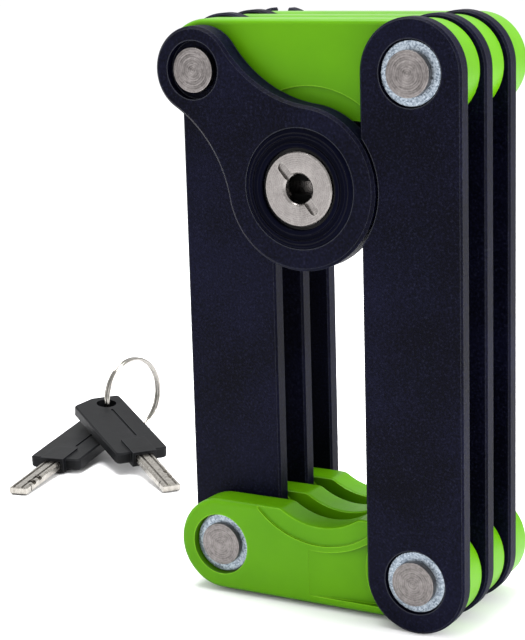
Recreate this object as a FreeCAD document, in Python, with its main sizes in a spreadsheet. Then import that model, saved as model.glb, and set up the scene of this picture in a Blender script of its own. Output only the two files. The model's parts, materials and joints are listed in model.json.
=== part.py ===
import FreeCAD, Part
import Sketcher
import math
import os
import re

# Folding bike lock: twelve riveted links wound into a flat coil behind a lock head.
# Frame: X to the right, Y from the front face to the back, Z up, millimetres.
# The origin is on the floor, under the middle of the folded coil.

SIZES = {
    # Folded coil
    "bar_spacing": 106.0,        # pivot to pivot along a bar
    "link_spacing": 50.0,        # pivot to pivot along a short link
    "bar_width": 22.4,
    "bar_thickness": 3.6,
    "bar_chamfer": 0.45,
    "link_width": 20.8,
    "link_thickness": 7.8,
    "link_round": 1.2,
    "arch_corner_round": 2.5,
    "link_play": 0.4,            # gap between neighbouring links along the pivots
    "arch_radius": 16.6,
    "arch_band": 4.2,            # shallow band that follows the arch
    "arch_band_depth": 0.5,
    "relief_ridge": 1.3,         # ridge between the band and the sloping relief
    "relief_boss_radius": 13.6,  # round end of the relief, about the right rivet
    "relief_rim": 2.0,
    "relief_start": 22.0,        # where the relief starts, right of the left rivet
    "relief_angle": 5.0,         # slope of the relief's floor, degrees
    # Steel core inside a short link
    "core_width": 13.6,
    "core_thickness": 3.6,
    "front_wall": 2.4,
    # Rivets and washers
    "shank_radius": 3.0,
    "running_fit": 0.08,
    "wall_clearance": 0.4,
    "rivet_head_radius": 4.75,
    "rivet_edge": 0.35,
    "rivet_proud": 1.2,
    "tail_radius": 4.4,
    "tail_thickness": 1.2,
    "axial_play": 0.1,
    "washer_radius": 6.6,
    "washer_thickness": 1.0,
    "seat_clearance": 0.3,
    "seat_depth": 1.6,
    # Lock head
    "head_radius": 17.3,
    "head_offset": 25.0,         # head centre to the right of the arm pivot
    "head_drop": 24.0,           # head centre below the arm pivot
    "arm_end_radius": 9.2,
    "arm_fillet_radius": 28.0,
    "arm_proud": 1.0,
    "arm_chamfer": 0.6,
    "arm_counterbore": 6.2,
    "arm_counterbore_depth": 2.0,
    "notch_clearance": 0.5,
    "barrel_radius": 15.4,
    "barrel_back_gap": 0.2,
    # Cap ring and seal in the head's face
    "cap_radius": 12.6,
    "cap_inner_radius": 8.6,
    "cap_depth": 1.6,
    "cap_proud": 0.5,
    "groove_radius": 10.3,
    "groove_width": 0.8,
    "groove_depth": 0.5,
    "seal_depth": 1.0,
    "seat_fit": 0.05,
    # Cylinder
    "plug_radius": 7.85,
    "plug_proud": 0.4,
    "plug_flange": 2.4,
    "plug_bevel": 0.25,
    "cage_radius": 7.2,
    "cage_wall": 0.7,
    "turning_fit": 0.06,
    "keyway_radius": 3.15,
    "keyway_bevel": 0.45,
    "notch_width": 2.0,
    "notch_reach": 6.6,
    "notch_depth": 0.8,
    "disc_count": 5.0,
    "disc_thickness": 0.5,
    "spacer_thickness": 0.15,
    "disc_gap": 0.02,
    "disc_clearance": 0.15,
    "key_slot_width": 5.5,
    "key_slot_height": 2.9,
    "spacer_bore": 3.3,
    "side_bar_width": 1.2,
    "side_bar_height": 1.3,
    "side_bar_groove": 0.7,
    # Tail cam, tongue channel and back cover
    "web_thickness": 1.0,
    "cam_radius": 3.9,
    "cam_half_width": 2.0,
    "cam_plate": 0.5,
    "clip_thickness": 0.4,
    "clip_radius": 5.8,
    "clip_inner_radius": 3.4,
    "channel_gap": 0.4,
    "cover_thickness": 1.3,
    "screw_radius": 0.8,
    "screw_head_radius": 1.4,
    "screw_head_height": 0.7,
    "screw_length": 3.6,
    "screw_circle": 13.45,
    "screw_count": 4.0,
    # Locking eye in the tail bar
    "eye_radius": 4.3,
    "eye_slot": 4.6,
    # Two keys on a split ring, lying on the floor behind the coil
    "key_head_length": 40.0,
    "key_head_width": 15.0,
    "key_head_thickness": 3.2,
    "key_head_round": 1.4,
    "key_head_edge": 0.4,
    "key_slant_reach": 6.5,
    "key_slant_drop": 3.6,
    "key_hole_radius": 2.9,
    "key_hole_inset": 5.2,       # hole centre to the head's end
    "key_hole_side": 1.8,        # hole centre to the right of the head's middle
    "key_line_width": 0.8,
    "key_line_length": 20.0,
    "key_line_depth": 0.4,
    "key_boss_width": 6.8,
    "key_boss_length": 9.5,
    "key_boss_reach": 1.6,       # how far the boss stands out over the blade
    "key_boss_proud": 0.5,
    "key_blade_length": 22.0,
    "key_blade_width": 5.0,
    "key_blade_thickness": 2.4,
    "key_blade_edge": 0.5,
    "key_blade_root": 7.0,
    "key_flute_width": 0.7,
    "key_flute_depth": 0.35,
    "key_flute_side": 1.2,
    "key_cut_width": 1.7,
    "key_cut_depth": 0.9,
    "key_cut_pitch": 3.4,
    "key_cut_place": 7.5,        # first cut from the blade's tip
    "key_waist": 2.6,            # last cut, round the blade's edge, from its tip
    "ring_radius": 11.0,         # middle line of the split ring
    "ring_wire_radius": 0.5,
    "ring_wire_pitch": 0.9,
}

DISC_COUNT = int(SIZES["disc_count"])
SCREW_COUNT = int(SIZES["screw_count"])
NOTCH_ANGLE = 130.0              # degrees, the two oblong notches in the cylinder face
COIL_TURNS = 3                   # right bars, left bars, top links and bottom links
RING_PLACE = (-118.5, 87.5)      # middle of the key ring on the floor
RING_HEADING = -100.0            # degrees, from the ring's middle towards the keys
KEY_HEADINGS = (-80.0, -36.0)    # degrees, from each key's hole to its tip
KEY_HEIGHTS = (4.7, 10.0)        # middle of each key's hole above the floor

doc = FreeCAD.newDocument("FoldingLock")
sheet = doc.addObject("Spreadsheet::Sheet", "Dims")
for line, (alias, number) in enumerate(SIZES.items(), start=1):
    sheet.set(f"A{line}", alias.replace("_", " "))
    sheet.set(f"B{line}", str(number))
    sheet.setAlias(f"B{line}", alias)
doc.recompute()

# Derived sizes, written in cell names
PITCH = "(bar_thickness + link_thickness + 2 * link_play)"
COIL_FRONT = f"(0 - (3 * {PITCH} + bar_thickness) / 2)"
PIVOT_LOW = "(bar_width / 2)"
PIVOT_HIGH = "(bar_width / 2 + bar_spacing)"
LEFT = "(0 - link_spacing / 2)"
RIGHT = "(link_spacing / 2)"
LINK_FRONT = "(bar_thickness + link_play)"
CORE_BACK = "(front_wall + core_thickness)"
SEAT_RADIUS = "(washer_radius + seat_clearance)"
RUNNING_HOLE = "(shank_radius + running_fit)"
TAIL_SEAT = "(tail_radius + seat_clearance)"
PLUG_FRONT = "(0 - arm_proud - plug_proud)"
FLANGE_BACK = f"({PLUG_FRONT} + plug_flange)"
DISC_PITCH = "(disc_thickness + spacer_thickness + 2 * disc_gap)"
STACK = f"(disc_count * {DISC_PITCH})"
CAGE_BACK = f"({FLANGE_BACK} + {STACK} + cam_plate + disc_gap)"
CHANNEL_FRONT = f"({CAGE_BACK} + web_thickness)"
BARREL_BACK = "(bar_thickness + link_play + link_thickness - barrel_back_gap)"
COVER_FRONT = f"({BARREL_BACK} - cover_thickness)"
CHANNEL_HALF = "(bar_width / 2 + channel_gap)"


def bind(text):
    """Write plain cell names the way an expression reads them from the sheet."""
    return re.sub(r"[a-z_]+", lambda word: f"Dims.{word.group()}" if word.group() in SIZES else word.group(), text)


def plus(first, second):
    """Add two expressions."""
    return f"({first} + {second})"


def minus(first, second):
    """Subtract the second expression from the first."""
    return f"({first} - ({second}))"


def new_body(label, x_place, y_place, z_place):
    """Start a body whose own origin stands at the given place."""
    body = doc.addObject("PartDesign::Body", label)
    body.Label = label
    for axis_name, place in (("x", x_place), ("y", y_place), ("z", z_place)):
        body.setExpression(f"Placement.Base.{axis_name}", bind(place))
    return body


def origin_feature(body, role):
    """Find one of the body's own origin planes or axes."""
    return next(feature for feature in body.Origin.OriginFeatures if feature.Role == role)


def new_sketch(body, name, depth="0", role="XZ_Plane"):
    """Attach a sketch to the body's own plane, moved back along Y by the depth."""
    sketch = body.newObject("Sketcher::SketchObject", name)
    sketch.AttachmentSupport = (origin_feature(body, role), [""])
    sketch.MapMode = "FlatFace"
    if depth != "0":
        sketch.setExpression("AttachmentOffset.Base.z", bind(minus("0", depth)))
    return sketch


def add_bound(sketch, kind, references, start, text):
    """Add one dimension and tie it to the sheet."""
    index = sketch.addConstraint(Sketcher.Constraint(kind, *references, start))
    sketch.setExpression(f"Constraints[{index}]", bind(text))


def add_circle(sketch, radius, x_centre="0", z_centre="0"):
    """Draw a circle with a bound centre and radius."""
    circle = Part.Circle(FreeCAD.Vector(0, 0, 0), FreeCAD.Vector(0, 0, 1), 1.0)
    index = sketch.addGeometry(circle, False)
    add_bound(sketch, "Radius", (index,), 1.0, radius)
    add_bound(sketch, "DistanceX", (-1, 1, index, 3), 0.0, x_centre)
    add_bound(sketch, "DistanceY", (-1, 1, index, 3), 0.0, z_centre)
    return index


def add_polygon(sketch, corners):
    """Draw a closed outline of straight lines through bound corners."""
    count = len(corners)
    first = sketch.GeometryCount
    turn = 2 * math.pi / count
    starts = [FreeCAD.Vector(math.cos(turn * step), math.sin(turn * step), 0) for step in range(count)]
    for step in range(count):
        sketch.addGeometry(Part.LineSegment(starts[step], starts[(step + 1) % count]), False)
    for step in range(count):
        following = first + (step + 1) % count
        sketch.addConstraint(Sketcher.Constraint("Coincident", first + step, 2, following, 1))
    for step, (x_corner, z_corner) in enumerate(corners):
        add_bound(sketch, "DistanceX", (-1, 1, first + step, 1), starts[step].x, x_corner)
        add_bound(sketch, "DistanceY", (-1, 1, first + step, 1), starts[step].y, z_corner)


def add_rectangle(sketch, x_low, z_low, x_high, z_high):
    """Draw an upright rectangle between two bound corners."""
    add_polygon(sketch, [(x_high, z_high), (x_low, z_high), (x_low, z_low), (x_high, z_low)])


def add_stadium(sketch, radius, reach, upright):
    """Draw a rounded-end link outline from the origin, down (upright) or to the right."""
    size = 5.0
    length = 30.0
    quarter = math.pi / 2
    first_angle = 0.0 if upright else quarter
    far = FreeCAD.Vector(0, -length, 0) if upright else FreeCAD.Vector(length, 0, 0)
    side = FreeCAD.Vector(size, 0, 0) if upright else FreeCAD.Vector(0, size, 0)
    near = FreeCAD.Vector(0, 0, 0)
    flat = FreeCAD.Vector(0, 0, 1)
    near_arc = Part.ArcOfCircle(Part.Circle(near, flat, size), first_angle, first_angle + math.pi)
    far_arc = Part.ArcOfCircle(Part.Circle(far, flat, size), first_angle + math.pi, first_angle + 2 * math.pi)
    sketch.addGeometry(near_arc, False)
    sketch.addGeometry(Part.LineSegment(near - side, far - side), False)
    sketch.addGeometry(far_arc, False)
    sketch.addGeometry(Part.LineSegment(far + side, near + side), False)
    for step in range(4):
        sketch.addConstraint(Sketcher.Constraint("Tangent", step, 2, (step + 1) % 4, 1))
    sketch.addConstraint(Sketcher.Constraint("Coincident", 0, 3, -1, 1))
    sketch.addConstraint(Sketcher.Constraint("PointOnObject", 2, 3, -2 if upright else -1))
    sketch.addConstraint(Sketcher.Constraint("Equal", 0, 2))
    add_bound(sketch, "Radius", (0,), size, radius)
    if upright:
        add_bound(sketch, "DistanceY", (2, 3, 0, 3), length, reach)
    else:
        add_bound(sketch, "DistanceX", (0, 3, 2, 3), length, reach)


def pad(body, sketch, length, name):
    """Extrude a sketch towards the back."""
    feature = body.newObject("PartDesign::Pad", name)
    feature.Profile = sketch
    feature.setExpression("Length", bind(length))
    feature.Reversed = True
    doc.recompute()
    return feature


def pocket(body, sketch, length, name, towards_front=False):
    """Cut a sketch towards the back or the front and make sure that it removed material."""
    before = body.Shape.Volume
    feature = body.newObject("PartDesign::Pocket", name)
    feature.Profile = sketch
    feature.Reversed = towards_front
    feature.setExpression("Length", bind(length))
    doc.recompute()
    if feature.Shape.Volume >= before - 1e-6:
        raise RuntimeError(f"{body.Label}: {name} cut nothing")
    return feature


def bore(body, name, radius, depth, length, x_centre="0", z_centre="0"):
    """Cut a round hole that starts at the given depth behind the body's origin."""
    sketch = new_sketch(body, f"{name}Sketch", depth)
    add_circle(sketch, radius, x_centre, z_centre)
    return pocket(body, sketch, length, name)


def face_edges(shape, places):
    """Name the edges that lie wholly in one of the planes at right angles to Y."""
    names = []
    for number, edge in enumerate(shape.Edges, start=1):
        box = edge.BoundBox
        flat = box.YMax - box.YMin < 1e-6
        if flat and any(abs(box.YMin - place) < 1e-6 for place in places):
            names.append(f"Edge{number}")
    return names


def chamfer_faces(body, feature, size, places):
    """Chamfer the outline of the feature's front or back face."""
    dressing = body.newObject("PartDesign::Chamfer", "Edges")
    dressing.Base = (feature, face_edges(feature.Shape, places))
    dressing.setExpression("Size", bind(size))
    doc.recompute()
    return dressing


def round_edges(body, feature, name, edges, radius):
    """Round the named edges of a feature."""
    dressing = body.newObject("PartDesign::Fillet", name)
    dressing.Base = (feature, edges)
    dressing.setExpression("Radius", bind(radius))
    doc.recompute()
    return dressing


def turned(body, corners, name="Turned"):
    """Turn a profile of (radius, depth) corners about the body's Y axis."""
    sketch = new_sketch(body, f"{name}Sketch", role="XY_Plane")
    add_polygon(sketch, corners)
    feature = body.newObject("PartDesign::Revolution", name)
    feature.Profile = sketch
    feature.ReferenceAxis = (sketch, ["V_Axis"])
    feature.Angle = 360
    doc.recompute()
    return feature


def row(body, feature, role, length, count, name="Row"):
    """Repeat a feature in a straight line along one of the body's axes."""
    pattern = body.newObject("PartDesign::LinearPattern", name)
    pattern.Originals = [feature]
    pattern.Direction = (origin_feature(body, role), [""])
    pattern.setExpression("Length", bind(length))
    pattern.Occurrences = count
    body.Tip = pattern
    doc.recompute()
    return pattern


def circle_of(body, feature, angle, count, name="Ring"):
    """Repeat a feature about the body's Y axis."""
    pattern = body.newObject("PartDesign::PolarPattern", name)
    pattern.Originals = [feature]
    pattern.Axis = (origin_feature(body, "Y_Axis"), [""])
    pattern.Angle = angle
    pattern.Occurrences = count
    body.Tip = pattern
    doc.recompute()
    return pattern


def bar_front(turn):
    """Depth of the front face of the bars in one turn of the coil, counted from 0."""
    return f"({COIL_FRONT} + {turn} * {PITCH})"


def link_front(turn):
    """Depth of the front face of the short links behind those bars."""
    return plus(bar_front(turn), LINK_FRONT)


def make_bar(label, x_place, turn):
    """Make a plain bar with chamfered edges, its origin at the upper pivot."""
    body = new_body(label, x_place, bar_front(turn), PIVOT_HIGH)
    outline = new_sketch(body, "Outline")
    add_stadium(outline, "bar_width / 2", "bar_spacing", upright=True)
    blank = pad(body, outline, "bar_thickness", "Blank")
    thickness = blank.Shape.BoundBox.YMax
    chamfer_faces(body, blank, "bar_chamfer", (0.0, thickness))
    return body


def head_seat(body, name, z_centre):
    """Sink a washer seat into the front of a bar and drill the tight rivet hole."""
    bore(body, f"{name}Seat", SEAT_RADIUS, "0", "seat_depth", "0", z_centre)
    bore(body, f"{name}Hole", "shank_radius", "0", "bar_thickness", "0", z_centre)


def make_right_bar(turn):
    """Make a right bar, which carries a rivet head at both ends."""
    body = make_bar(f"right_bar_{turn + 1}", RIGHT, turn)
    head_seat(body, "Upper", "0")
    head_seat(body, "Lower", "0 - bar_spacing")
    if turn == 0:
        radius = "head_radius + notch_clearance"
        x_centre = "head_offset - link_spacing"
        bore(body, "HeadNotch", radius, "0", "bar_thickness", x_centre, "0 - head_drop")


def make_left_bar(turn):
    """Make a left bar: rivet tail below, rivet head or locking eye above."""
    last = turn == COIL_TURNS
    body = make_bar("tail_bar" if last else f"left_bar_{turn}", LEFT, turn)
    low = "0 - bar_spacing"
    bore(body, "LowerHole", RUNNING_HOLE, "0", "bar_thickness", "0", low)
    tail_depth = "(bar_thickness - tail_thickness)"
    bore(body, "TailSeat", TAIL_SEAT, tail_depth, "tail_thickness", "0", low)
    if not last:
        head_seat(body, "Upper", "0")
        return
    bore(body, "Eye", "eye_radius", "0", "bar_thickness")
    slot = new_sketch(body, "EyeSlotSketch")
    add_rectangle(slot, "0 - eye_slot / 2", "0", "eye_slot / 2", "bar_width")
    pocket(body, slot, "bar_thickness", "EyeSlot")


def make_link(row_name, turn):
    """Make a short link: a moulded cover with an arch, and the steel core inside it."""
    top = row_name == "top"
    z_place = PIVOT_HIGH if top else PIVOT_LOW
    arch_height = "0 - head_drop" if top else "head_drop"
    cover = new_body(f"{row_name}_cover_{turn + 1}", LEFT, link_front(turn), z_place)
    outline = new_sketch(cover, "Outline")
    add_stadium(outline, "link_width / 2", "link_spacing", upright=False)
    pad(cover, outline, "link_thickness", "Moulding")
    arch = bore(cover, "Arch", "arch_radius", "0", "link_thickness", "head_offset", arch_height)
    corners = round_edges(cover, arch, "ArchCorners", arch_corner_edges(arch.Shape, top), "arch_corner_round")
    thickness = corners.Shape.BoundBox.YMax
    outline_edges = face_edges(corners.Shape, (0.0, thickness))
    round_edges(cover, corners, "OutlineRound", outline_edges, "link_round")
    band = plus("arch_radius", "arch_band")
    bore(cover, "ArchBand", band, "0", "arch_band_depth", "head_offset", arch_height)
    if not top:
        make_link_relief(cover)
    make_link_seats(cover, top)
    cavity = new_sketch(cover, "CoreCavitySketch", "front_wall")
    add_stadium(cavity, "core_width / 2", "link_spacing", upright=False)
    pocket(cover, cavity, "core_thickness", "CoreCavity")

    core = new_body(f"{row_name}_core_{turn + 1}", LEFT, plus(link_front(turn), "front_wall"), z_place)
    plate = new_sketch(core, "Outline")
    add_stadium(plate, "core_width / 2", "link_spacing", upright=False)
    pad(core, plate, "core_thickness", "Plate")
    left_hole = RUNNING_HOLE if top else "shank_radius"
    bore(core, "LeftHole", left_hole, "0", "core_thickness")
    bore(core, "RightHole", RUNNING_HOLE, "0", "core_thickness", "link_spacing")


def arch_corner_edges(shape, top):
    """Name the two edges where the arch meets the long side of the link."""
    side = -SIZES["link_width"] / 2 if top else SIZES["link_width"] / 2
    names = []
    for number, edge in enumerate(shape.Edges, start=1):
        box = edge.BoundBox
        through = box.YMax - box.YMin > SIZES["link_thickness"] / 2
        inside = 1.0 < box.XMin < SIZES["link_spacing"] - 1.0
        if through and inside and abs(box.ZMin - side) < 0.01 and abs(box.ZMax - side) < 0.01:
            names.append(f"Edge{number}")
    return names


def make_link_relief(cover):
    """Sink the sloping relief between the band along the arch and the right rivet."""
    start = SIZES["relief_start"]
    span = SIZES["link_spacing"] - start
    upper = SIZES["arch_radius"] + SIZES["arch_band"] + SIZES["relief_ridge"]
    boss = SIZES["relief_boss_radius"]
    drop = SIZES["head_drop"]
    middle = SIZES["head_offset"] - start
    floor = SIZES["link_width"] / 2 - SIZES["relief_rim"]
    left = 0.5
    left_top = drop - math.sqrt(upper ** 2 - (left - middle) ** 2)
    floor_end = span - math.sqrt(boss ** 2 - floor ** 2)
    meet = meeting_point(middle, drop, upper, span, boss)

    def point(across, up):
        return FreeCAD.Vector(across, up, 0)

    sketch = cover.newObject("Sketcher::SketchObject", "ReliefSketch")
    sketch.AttachmentSupport = (origin_feature(cover, "XZ_Plane"), [""])
    sketch.MapMode = "FlatFace"
    slope = FreeCAD.Rotation(FreeCAD.Vector(0, 1, 0), SIZES["relief_angle"])
    sketch.AttachmentOffset = FreeCAD.Placement(FreeCAD.Vector(start, 0, 0), slope)
    arch_middle = (left + meet[0]) / 2
    arch_low = drop - math.sqrt(upper ** 2 - (arch_middle - middle) ** 2)
    boss_middle = (meet[1] - floor) / 2
    boss_side = span - math.sqrt(boss ** 2 - boss_middle ** 2)
    sketch.addGeometry(Part.Arc(point(left, left_top), point(arch_middle, arch_low), point(*meet)), False)
    sketch.addGeometry(Part.Arc(point(*meet), point(boss_side, boss_middle), point(floor_end, -floor)), False)
    sketch.addGeometry(Part.LineSegment(point(floor_end, -floor), point(left, -floor)), False)
    sketch.addGeometry(Part.LineSegment(point(left, -floor), point(left, left_top)), False)
    pocket(cover, sketch, "link_thickness / 2", "Relief", towards_front=True)


def meeting_point(middle, drop, upper, span, boss):
    """Find where the relief's edge along the arch meets its round end."""
    gap = math.hypot(span - middle, drop)
    along = (upper ** 2 - boss ** 2 + gap ** 2) / (2 * gap)
    across = math.sqrt(upper ** 2 - along ** 2)
    unit = ((span - middle) / gap, -drop / gap)
    first = (middle + along * unit[0] - across * -unit[1], drop + along * unit[1] - across * unit[0])
    second = (middle + along * unit[0] + across * -unit[1], drop + along * unit[1] + across * unit[0])
    return min(first, second, key=lambda place: place[0])


def make_link_seats(cover, top):
    """Open the cover round its rivets: shank holes, tail seats and the lower head seat."""
    back_wall = f"(link_thickness - {CORE_BACK})"
    open_hole = plus(RUNNING_HOLE, "wall_clearance")
    bore(cover, "RightFront", open_hole, "0", "front_wall", "link_spacing")
    bore(cover, "RightTail", TAIL_SEAT, CORE_BACK, back_wall, "link_spacing")
    if top:
        bore(cover, "LeftFront", open_hole, "0", "front_wall")
        bore(cover, "LeftTail", TAIL_SEAT, CORE_BACK, back_wall)
    else:
        bore(cover, "LeftHead", SEAT_RADIUS, "0", "front_wall")
        bore(cover, "LeftBack", open_hole, CORE_BACK, back_wall)


def rivet_profile(head_front, head_back, tail_front):
    """Give the (radius, depth) corners of a rivet with a formed tail."""
    tail_back = plus(tail_front, "tail_thickness - axial_play")
    return [
        ("0", head_front),
        ("rivet_head_radius - rivet_edge", head_front),
        ("rivet_head_radius", plus(head_front, "rivet_edge")),
        ("rivet_head_radius", head_back),
        ("shank_radius", head_back),
        ("shank_radius", tail_front),
        ("tail_radius", tail_front),
        ("tail_radius", tail_back),
        ("0", tail_back),
    ]


def washer_profile(front):
    """Give the (radius, depth) corners of a plain washer round a rivet shank."""
    back = plus(front, "washer_thickness")
    return [("shank_radius", front), ("washer_radius", front), ("washer_radius", back), ("shank_radius", back)]


BAR_WASHER_FRONT = "(seat_depth - washer_thickness)"
LINK_WASHER_FRONT = "(front_wall - washer_thickness)"
LINK_TAIL = f"({LINK_FRONT} + {CORE_BACK} + axial_play)"
BAR_TAIL = "(link_thickness + link_play + bar_thickness - tail_thickness + axial_play)"


def make_right_rivets(turn):
    """Rivet both ends of a right bar to the short links behind it."""
    proud = "rivet_proud" if turn == 0 else "0"
    rivets = new_body(f"right_rivets_{turn + 1}", RIGHT, bar_front(turn), PIVOT_LOW)
    shape = turned(rivets, rivet_profile(minus("0", proud), BAR_WASHER_FRONT, LINK_TAIL))
    row(rivets, shape, "Z_Axis", "bar_spacing", 2)
    washers = new_body(f"right_washers_{turn + 1}", RIGHT, bar_front(turn), PIVOT_LOW)
    shape = turned(washers, washer_profile(BAR_WASHER_FRONT))
    row(washers, shape, "Z_Axis", "bar_spacing", 2)


def make_left_rivet(turn):
    """Rivet the upper end of a left bar to the top link behind it."""
    rivet = new_body(f"left_rivet_{turn}", LEFT, bar_front(turn), PIVOT_HIGH)
    turned(rivet, rivet_profile("0", BAR_WASHER_FRONT, LINK_TAIL))
    washer = new_body(f"left_washer_{turn}", LEFT, bar_front(turn), PIVOT_HIGH)
    turned(washer, washer_profile(BAR_WASHER_FRONT))


def make_bottom_rivet(turn):
    """Rivet the left end of a bottom link to the left bar behind it."""
    rivet = new_body(f"bottom_rivet_{turn + 1}", LEFT, link_front(turn), PIVOT_LOW)
    turned(rivet, rivet_profile("0", LINK_WASHER_FRONT, BAR_TAIL))
    washer = new_body(f"bottom_washer_{turn + 1}", LEFT, link_front(turn), PIVOT_LOW)
    turned(washer, washer_profile(LINK_WASHER_FRONT))


def make_head_rivet():
    """Rivet the arm of the lock head to the first top link."""
    rivet = new_body("head_rivet", LEFT, COIL_FRONT, PIVOT_HIGH)
    head_back = "(arm_counterbore_depth - arm_proud)"
    turned(rivet, rivet_profile("(0 - arm_proud)", head_back, LINK_TAIL))


HEAD_X = plus(LEFT, "head_offset")
HEAD_Z = minus(PIVOT_HIGH, "head_drop")


def add_arm_outline(sketch):
    """Draw the head disc and the arm's rounded end, joined by two tangent hollow arcs."""
    disc = SIZES["head_radius"]
    end = SIZES["arm_end_radius"]
    hollow = SIZES["arm_fillet_radius"]
    flat = FreeCAD.Vector(0, 0, 1)
    centre = FreeCAD.Vector(0, 0, 0)
    pivot = FreeCAD.Vector(-SIZES["head_offset"], SIZES["head_drop"], 0)
    reach = pivot.Length
    along = (pivot - centre).normalize()
    across = FreeCAD.Vector(-along.y, along.x, 0)
    forward = ((disc + hollow) ** 2 - (end + hollow) ** 2 + reach ** 2) / (2 * reach)
    sideways = math.sqrt((disc + hollow) ** 2 - forward ** 2)
    sides = [centre + along * forward + across * sideways, centre + along * forward - across * sideways]

    def angle(start, finish):
        return math.atan2(finish.y - start.y, finish.x - start.x)

    def arc(middle, radius, start, finish):
        while finish < start:
            finish += 2 * math.pi
        sketch.addGeometry(Part.ArcOfCircle(Part.Circle(middle, flat, radius), start, finish), False)

    arc(pivot, end, angle(pivot, sides[1]), angle(pivot, sides[0]))
    arc(sides[0], hollow, angle(sides[0], centre), angle(sides[0], pivot))
    arc(centre, disc, angle(centre, sides[0]), angle(centre, sides[1]))
    arc(sides[1], hollow, angle(sides[1], pivot), angle(sides[1], centre))
    joins = [(0, 2, 1, 2), (1, 1, 2, 1), (2, 2, 3, 2), (3, 1, 0, 1)]
    for join in joins:
        sketch.addConstraint(Sketcher.Constraint("Tangent", *join))
    sketch.addConstraint(Sketcher.Constraint("Coincident", 2, 3, -1, 1))
    add_bound(sketch, "Radius", (0,), end, "arm_end_radius")
    add_bound(sketch, "Radius", (1,), hollow, "arm_fillet_radius")
    add_bound(sketch, "Radius", (2,), disc, "head_radius")
    add_bound(sketch, "Radius", (3,), hollow, "arm_fillet_radius")
    add_bound(sketch, "DistanceX", (0, 3, 2, 3), SIZES["head_offset"], "head_offset")
    add_bound(sketch, "DistanceY", (2, 3, 0, 3), SIZES["head_drop"], "head_drop")


def make_housing():
    """Make the head casting: arm plate, barrel, cylinder bore and tongue channel."""
    body = new_body("lock_housing", HEAD_X, COIL_FRONT, HEAD_Z)
    outline = new_sketch(body, "Outline", "(0 - arm_proud)")
    add_arm_outline(outline)
    plate = pad(body, outline, "arm_proud + bar_thickness", "ArmPlate")
    chamfer_faces(body, plate, "arm_chamfer", (plate.Shape.BoundBox.YMin,))
    barrel = new_sketch(body, "BarrelSketch", "bar_thickness - link_play")
    add_circle(barrel, "barrel_radius")
    barrel_length = minus(COVER_FRONT, "bar_thickness - link_play")
    pad(body, barrel, barrel_length, "Barrel")

    face = "(0 - arm_proud)"
    arm_x = "0 - head_offset"
    bore(body, "RivetSeat", "arm_counterbore", face, "arm_counterbore_depth", arm_x, "head_drop")
    bore(body, "RivetHole", "shank_radius", face, "arm_proud + bar_thickness", arm_x, "head_drop")
    bore(body, "CapSeat", plus("cap_radius", "seat_fit"), face, "cap_depth")
    bore(body, "FlangeBore", plus("plug_radius", "turning_fit"), face, minus(FLANGE_BACK, face))
    bore(body, "CageBore", plus("cage_radius", "turning_fit"), face, minus(CAGE_BACK, face))
    bore(body, "CamBore", plus("cam_radius", "turning_fit"), face, minus(CHANNEL_FRONT, face))
    clip_recess = minus(CHANNEL_FRONT, "clip_thickness + 2 * axial_play")
    bore(body, "ClipRecess", "clip_radius + seat_clearance", clip_recess, "clip_thickness + 2 * axial_play")

    groove = new_sketch(body, "SideBarGrooveSketch", FLANGE_BACK)
    half = "(side_bar_width / 2 + turning_fit)"
    add_rectangle(groove, minus("0", half), "cage_radius / 2", half, "cage_radius + side_bar_groove")
    pocket(body, groove, minus(CAGE_BACK, FLANGE_BACK), "SideBarGroove")

    channel_length = minus(COVER_FRONT, CHANNEL_FRONT)
    bore(body, "ChannelEnd", CHANNEL_HALF, CHANNEL_FRONT, channel_length)
    channel = new_sketch(body, "ChannelSketch", CHANNEL_FRONT)
    add_rectangle(channel, minus("0", CHANNEL_HALF), "0 - barrel_radius * 2", CHANNEL_HALF, "0")
    pocket(body, channel, channel_length, "Channel")
    screw_depth = minus(COVER_FRONT, "screw_length - cover_thickness")
    hole = bore(body, "ScrewHole", "screw_radius", screw_depth, "screw_length", "screw_circle")
    circle_of(body, hole, 180, SCREW_COUNT)


def make_back_cover():
    """Close the back of the barrel with a screwed disc."""
    body = new_body("back_cover", HEAD_X, plus(COIL_FRONT, COVER_FRONT), HEAD_Z)
    disc = new_sketch(body, "Disc")
    add_circle(disc, "barrel_radius")
    pad(body, disc, "cover_thickness", "Plate")
    head_depth = "(cover_thickness - screw_head_height)"
    sketch = new_sketch(body, "ScrewSketch")
    add_circle(sketch, "screw_radius", "screw_circle")
    hole = pocket(body, sketch, "cover_thickness", "ScrewHole")
    seat_sketch = new_sketch(body, "ScrewSeatSketch", head_depth)
    add_circle(seat_sketch, "screw_head_radius", "screw_circle")
    seat = pocket(body, seat_sketch, "screw_head_height", "ScrewSeat")
    for number, feature in enumerate((hole, seat)):
        circle_of(body, feature, 180, SCREW_COUNT, f"Ring{number}")


def make_cover_screws():
    """Make the small countersunk screws of the back cover as one group."""
    body = new_body("cover_screws", HEAD_X, plus(COIL_FRONT, BARREL_BACK), HEAD_Z)
    shank = new_sketch(body, "ShankSketch", "(0 - screw_length)")
    add_circle(shank, "screw_radius", "screw_circle")
    first = pad(body, shank, "screw_length - screw_head_height", "Shank")
    circle_of(body, first, 180, SCREW_COUNT, "ShankRing")
    head = new_sketch(body, "HeadSketch", "(0 - screw_head_height)")
    add_circle(head, "screw_head_radius", "screw_circle")
    second = pad(body, head, "screw_head_height", "Head")
    circle_of(body, second, 180, SCREW_COUNT, "HeadRing")


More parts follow.
